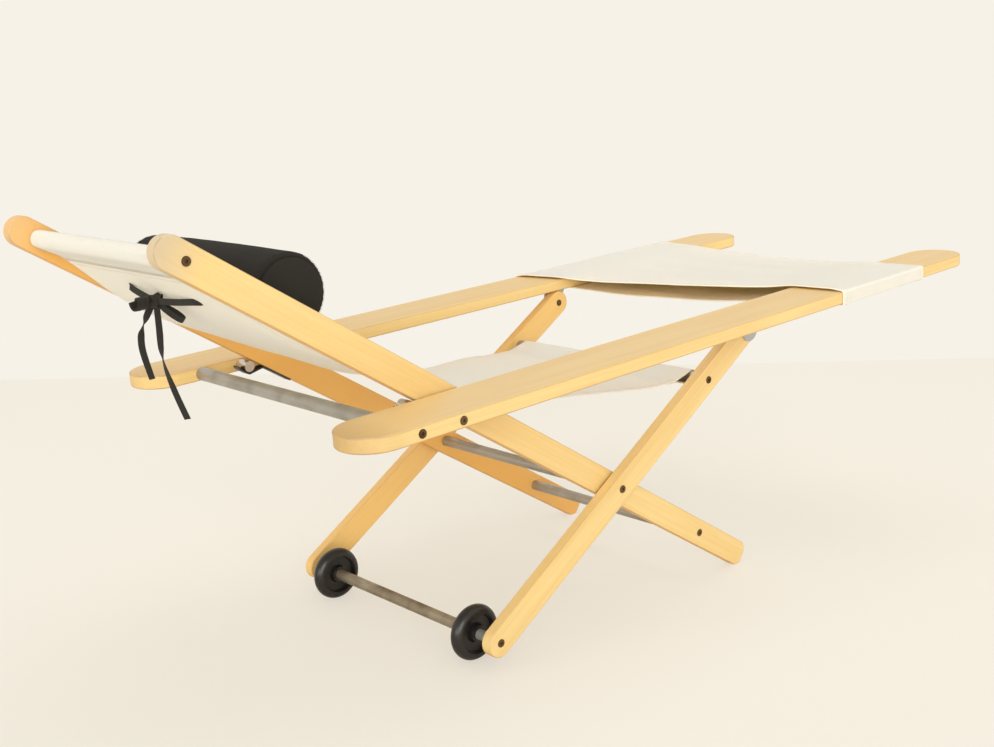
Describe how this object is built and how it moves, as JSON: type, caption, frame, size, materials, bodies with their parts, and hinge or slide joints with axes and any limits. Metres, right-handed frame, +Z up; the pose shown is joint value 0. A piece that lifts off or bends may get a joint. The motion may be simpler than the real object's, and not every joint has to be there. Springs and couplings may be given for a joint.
{
  "type": "chaise lounge",
  "caption": "Folding beech deck lounge: crossed rails and legs, long boards as armrest and leg rest, canvas sling and leg canvas, bolster, wheels at the back legs.",
  "frame": {"origin": "on the floor, halfway along and across the bounding box", "axes": "+X is the sitter's left, +Y is the head end, +Z is up"},
  "size_m": [0.7486, 1.9373, 0.7908],
  "materials": {
    "beech": "oiled beech, satin",
    "canvas": "cream cotton canvas",
    "bolster_cloth": "charcoal canvas cover",
    "tie_tape": "charcoal cotton tape",
    "steel_tube": "dull steel tube, slightly browned",
    "dark_steel": "dark strip steel",
    "zinc_steel": "zinc-plated steel",
    "stud_steel": "bare turned steel",
    "bronze_bolt": "bronze-brown plated steel",
    "wheel_black": "glossy black",
    "grey_nylon": "light grey nylon"
  },
  "bodies": {
    "rails": {"rail_left": "beech", "rail_right": "beech", "hook_left": "dark_steel", "hook_right": "dark_steel", "hook_screws": "zinc_steel", "head_bar": "steel_tube", "pivot_tube": "steel_tube", "foot_tube": "steel_tube", "rail_tube_plugs": "steel_tube", "head_bar_bolts": "bronze_bolt", "foot_tube_bolts": "bronze_bolt", "pivot_bolts": "bronze_bolt", "pivot_washers": "grey_nylon", "sling": "canvas", "bolster": "bolster_cloth", "tie_tape_left": "tie_tape", "tie_tape_right": "tie_tape", "tie_knot": "tie_tape", "tie_strap_left": "tie_tape", "tie_strap_right": "tie_tape", "tie_tail_left": "tie_tape", "tie_tail_right": "tie_tape", "tie_loop_left": "tie_tape", "tie_loop_right": "tie_tape"},
    "legs": {"leg_left": "beech", "leg_right": "beech", "seat_bar": "steel_tube", "leg_tube_plugs": "steel_tube", "seat_bar_bolts": "bronze_bolt", "leg_top_pins": "bronze_bolt", "axle_rod": "steel_tube", "axle_sleeve": "steel_tube", "axle_spacers": "grey_nylon", "axle_bolts": "bronze_bolt"},
    "boards": {"board_left": "beech", "board_right": "beech", "bracket_left": "zinc_steel", "bracket_right": "zinc_steel", "bracket_screws": "zinc_steel", "cross_tube": "steel_tube", "board_tube_plugs": "steel_tube", "cross_tube_bolts": "bronze_bolt", "stud_left": "stud_steel", "stud_right": "stud_steel", "stud_bolts": "bronze_bolt", "leg_canvas": "canvas"},
    "wheel_left": {"wheel_left": "wheel_black"},
    "wheel_right": {"wheel_right": "wheel_black"}
  },
  "joints": [
    {"name": "leg_fold", "type": "hinge", "parent": "rails", "child": "legs", "pos_m": [0, 0.08842, 0.25366], "axis": [-1, 0, 0], "range_deg": [0, 98], "deforming": ["sling"]},
    {"name": "board_fold", "type": "hinge", "parent": "legs", "child": "boards", "pos_m": [0, -0.28182, 0.49872], "axis": [-1, 0, 0], "range_deg": [0, 29.98]},
    {"name": "wheel_left_spin", "type": "hinge", "parent": "legs", "child": "wheel_left", "pos_m": [0.204, 0.39612, 0.05], "axis": [1, 0, 0], "continuous": true},
    {"name": "wheel_right_spin", "type": "hinge", "parent": "legs", "child": "wheel_right", "pos_m": [-0.204, 0.39612, 0.05], "axis": [1, 0, 0], "continuous": true}
  ],
  "couplings": [
    {"joint": "board_fold", "follows": "leg_fold", "ratio": 0.30542}
  ]
}
